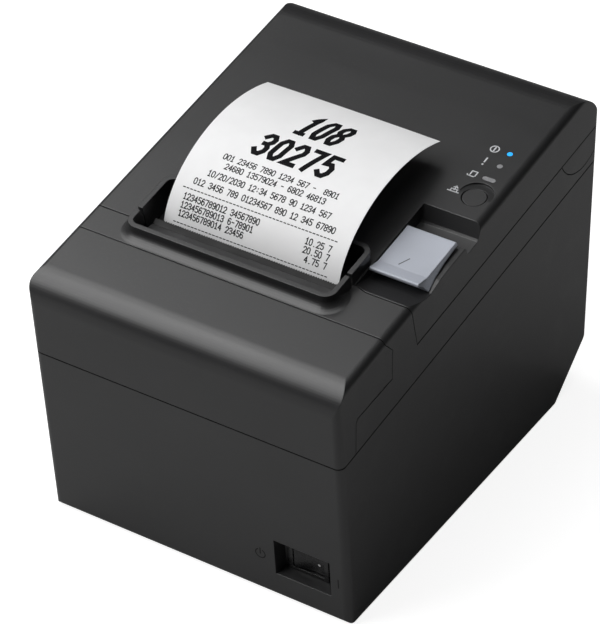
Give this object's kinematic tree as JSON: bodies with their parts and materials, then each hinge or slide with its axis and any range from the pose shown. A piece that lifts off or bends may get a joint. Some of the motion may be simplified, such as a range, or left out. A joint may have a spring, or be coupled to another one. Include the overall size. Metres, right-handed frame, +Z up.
{
  "type": "receipt printer",
  "caption": "Charcoal thermal receipt printer with hinged roll cover, sliding cutter cover, pale open lever, feed button, status lamps, rocker switch and a printed receipt in the slot.",
  "frame": {"origin": "bottom centre of the closed printer, on the table", "axes": "+Z up, -Y is the front (paper exit and switch side), +X to the right seen from the front"},
  "size_m": [0.14, 0.1991, 0.1524],
  "materials": {
    "charcoal_plastic": "fine matte grain",
    "cover_plastic": "fine matte grain",
    "inner_plastic": "matte",
    "lever_plastic": "satin",
    "black_plastic": "satin",
    "gear_plastic": "satin",
    "socket_plastic": "satin",
    "steel": "brushed",
    "zinc_steel": "zinc plated",
    "spring_steel": "bright",
    "brass": "satin",
    "aluminium": "bead blasted",
    "ceramic": "glazed",
    "board": "solder mask",
    "rubber": "matte",
    "paper": "thermal coated",
    "core_card": "plain",
    "lamp_blue": "clear",
    "lamp_grey": "frosted"
  },
  "bodies": {
    "case": {"lower_case": "charcoal_plastic", "base_plate": "zinc_steel", "rubber_feet": "rubber", "base_screws": "zinc_steel", "upper_case": "charcoal_plastic", "tear_bar": "steel", "roll_bucket": "inner_plastic", "main_board": "board", "usb_socket": "steel", "power_socket": "black_plastic", "drawer_socket": "socket_plastic", "switch_housing": "black_plastic", "mech_frame": "zinc_steel", "frame_screws": "zinc_steel", "head_springs": "spring_steel", "feed_motor": "zinc_steel", "gear_pins": "steel", "cutter_frame": "zinc_steel", "cutter_gear_pin": "steel", "cutter_motor": "zinc_steel", "cover_sensor": "black_plastic", "hinge_pins": "steel", "paper_web": "paper"},
    "cutter_cover": {"cutter_cover": "cover_plastic"},
    "roll_cover": {"roll_cover": "cover_plastic", "cover_liner": "inner_plastic", "liner_screws": "zinc_steel", "fixed_blade": "steel", "platen_bushes": "brass", "lever_pin": "steel", "lever_spring": "spring_steel", "button_spring": "spring_steel", "panel_board": "board", "power_lamp": "lamp_blue", "status_lamps": "lamp_grey", "receipt_paper": "paper"},
    "platen": {"platen_shaft": "steel", "platen_rubber": "rubber", "platen_gear": "gear_plastic"},
    "open_lever": {"cover_open_lever": "lever_plastic"},
    "feed_button": {"feed_button": "cover_plastic"},
    "power_rocker": {"power_rocker": "black_plastic"},
    "feed_pinion": {"motor_pinion": "brass"},
    "idler_a": {"idler_gear_a": "gear_plastic"},
    "idler_b": {"idler_gear_b": "gear_plastic"},
    "roll": {"paper_roll": "paper", "roll_core": "core_card"},
    "blade": {"moving_blade": "steel"},
    "cutter_gear": {"cutter_gear": "gear_plastic"},
    "cutter_pinion": {"cutter_pinion": "brass"},
    "near_end_lever": {"near_end_lever": "socket_plastic"},
    "head": {"print_head": "ceramic", "heat_sink": "aluminium"}
  },
  "joints": [
    {"name": "roll_cover_hinge", "type": "hinge", "parent": "case", "child": "roll_cover", "pos_m": [0, 0.0859, 0.1327], "axis": [-1, 0, 0], "range_deg": [0, 95]},
    {"name": "cutter_cover_slide", "type": "slide", "parent": "case", "child": "cutter_cover", "axis": [0, -1, 0], "range_m": [0, 0.025]},
    {"name": "open_lever_hinge", "type": "hinge", "parent": "roll_cover", "child": "open_lever", "pos_m": [0.0549, -0.01089, 0.12473], "axis": [-1, 0, 0], "range_deg": [0, 15], "stiffness_Nm_per_rad": 0.06},
    {"name": "feed_button_press", "type": "slide", "parent": "roll_cover", "child": "feed_button", "axis": [0, 0.1469, -0.9891], "range_m": [0, 0.0008], "stiffness_N_per_m": 400},
    {"name": "power_rocker_tilt", "type": "hinge", "parent": "case", "child": "power_rocker", "pos_m": [0.0487, -0.08398, 0.02156], "axis": [0, 0.0906, -0.9959], "range_deg": [0, 14]},
    {"name": "paper_roll_spin", "type": "hinge", "parent": "case", "child": "roll", "pos_m": [-0.0025, 0.028, 0.0768], "axis": [-1, 0, 0], "continuous": true},
    {"name": "platen_spin", "type": "hinge", "parent": "roll_cover", "child": "platen", "pos_m": [-0.0025, -0.0385, 0.10868], "axis": [-1, 0, 0], "continuous": true},
    {"name": "idler_a_spin", "type": "hinge", "parent": "case", "child": "idler_a", "pos_m": [-0.056, -0.03424, 0.08664], "axis": [-1, 0, 0], "continuous": true},
    {"name": "idler_b_spin", "type": "hinge", "parent": "case", "child": "idler_b", "pos_m": [-0.056, -0.05347, 0.07857], "axis": [-1, 0, 0], "continuous": true},
    {"name": "feed_motor_spin", "type": "hinge", "parent": "case", "child": "feed_pinion", "pos_m": [-0.056, -0.066, 0.08398], "axis": [-1, 0, 0], "continuous": true},
    {"name": "blade_slide", "type": "slide", "parent": "case", "child": "blade", "axis": [0, 1, 0], "range_m": [0, 0.009]},
    {"name": "cutter_gear_spin", "type": "hinge", "parent": "case", "child": "cutter_gear", "pos_m": [0.0075, -0.076, 0.112], "axis": [0, 0, -1], "range_deg": [0, 87]},
    {"name": "cutter_motor_spin", "type": "hinge", "parent": "case", "child": "cutter_pinion", "pos_m": [0.02595, -0.076, 0.112], "axis": [0, 0, 1], "range_deg": [0, 312]},
    {"name": "near_end_lever_swing", "type": "hinge", "parent": "case", "child": "near_end_lever", "pos_m": [0.04445, 0.034, 0.059], "axis": [0, 0, -1], "range_deg": [0, 6], "stiffness_Nm_per_rad": 0.01},
    {"name": "head_pivot", "type": "hinge", "parent": "case", "child": "head", "pos_m": [-0.0025, -0.04162, 0.08626], "axis": [1, 0, 0], "range_deg": [0, 1.2], "stiffness_Nm_per_rad": 2, "springref_deg": -1.15}
  ],
  "couplings": [
    {"joint": "platen_spin", "follows": "paper_roll_spin", "ratio": 6},
    {"joint": "idler_a_spin", "follows": "paper_roll_spin", "ratio": -4.5},
    {"joint": "idler_b_spin", "follows": "paper_roll_spin", "ratio": 7.2},
    {"joint": "feed_motor_spin", "follows": "paper_roll_spin", "ratio": -10.286},
    {"joint": "cutter_gear_spin", "follows": "blade_slide", "rad_per_m": 166.67},
    {"joint": "cutter_motor_spin", "follows": "blade_slide", "rad_per_m": 600}
  ]
}
